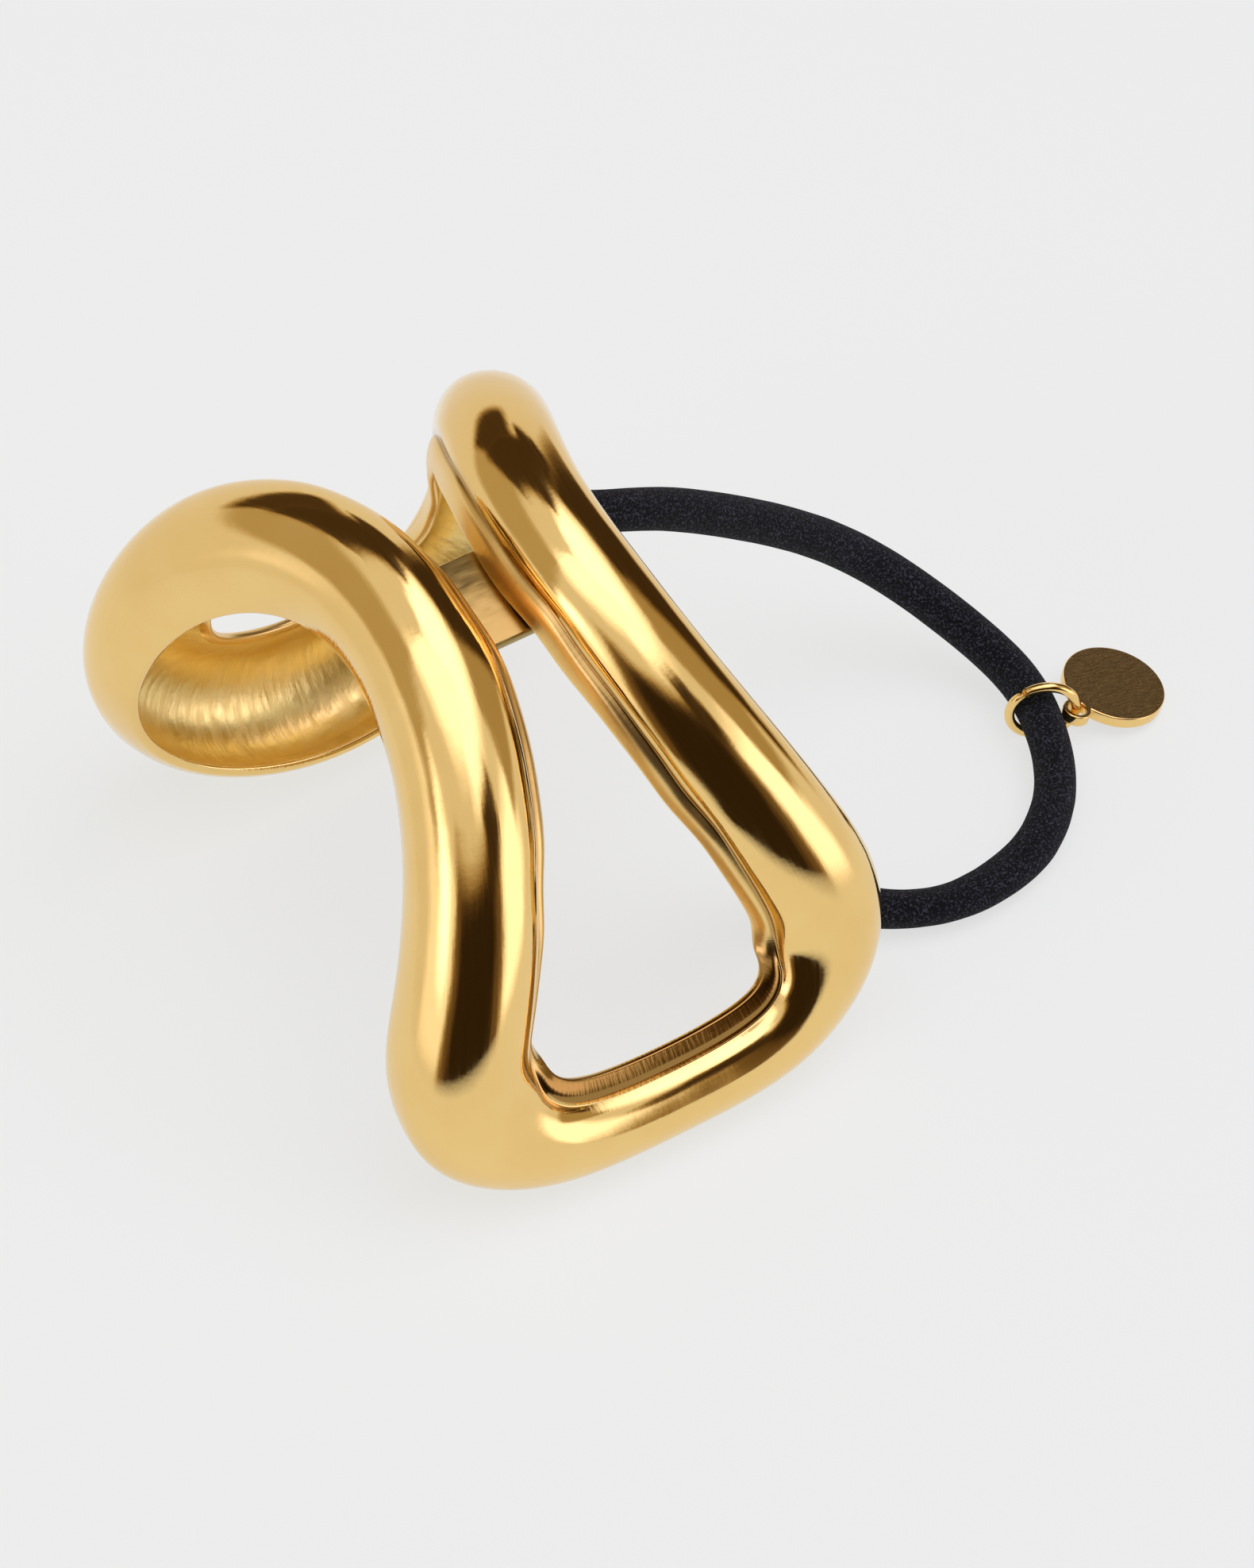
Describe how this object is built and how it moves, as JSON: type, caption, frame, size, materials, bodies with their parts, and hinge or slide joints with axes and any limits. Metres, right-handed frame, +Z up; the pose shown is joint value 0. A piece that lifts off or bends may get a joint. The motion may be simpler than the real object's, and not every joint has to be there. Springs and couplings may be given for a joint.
{
  "type": "ponytail cuff",
  "caption": "Arched hair cuff formed from one waisted loop of gold tube, open on its inner side, with a bridge plate, a threaded black elastic, a jump ring and a round blank tag.",
  "frame": {"origin": "centre of the cuff's footprint, on the surface that its two end bars stand on", "axes": "+X along the ponytail, towards the side where the elastic lies; +Y from the narrow front end bar to the broad back end bar; +Z up, towards the waist at the top of the arch"},
  "size_m": [0.0976, 0.0698, 0.0502],
  "materials": {
    "cuff": "polished gold-tone plate outside, satin inside the open hollow",
    "elastic": "matt, finely knitted cover over a rubber core",
    "jump_ring": "polished gold-tone wire",
    "tag": "fine straight brushing on the face, polished edge, blank"
  },
  "bodies": {
    "root": {"cuff": "cuff", "elastic": "elastic", "jump_ring": "jump_ring", "tag": "tag"}
  },
  "joints": []
}
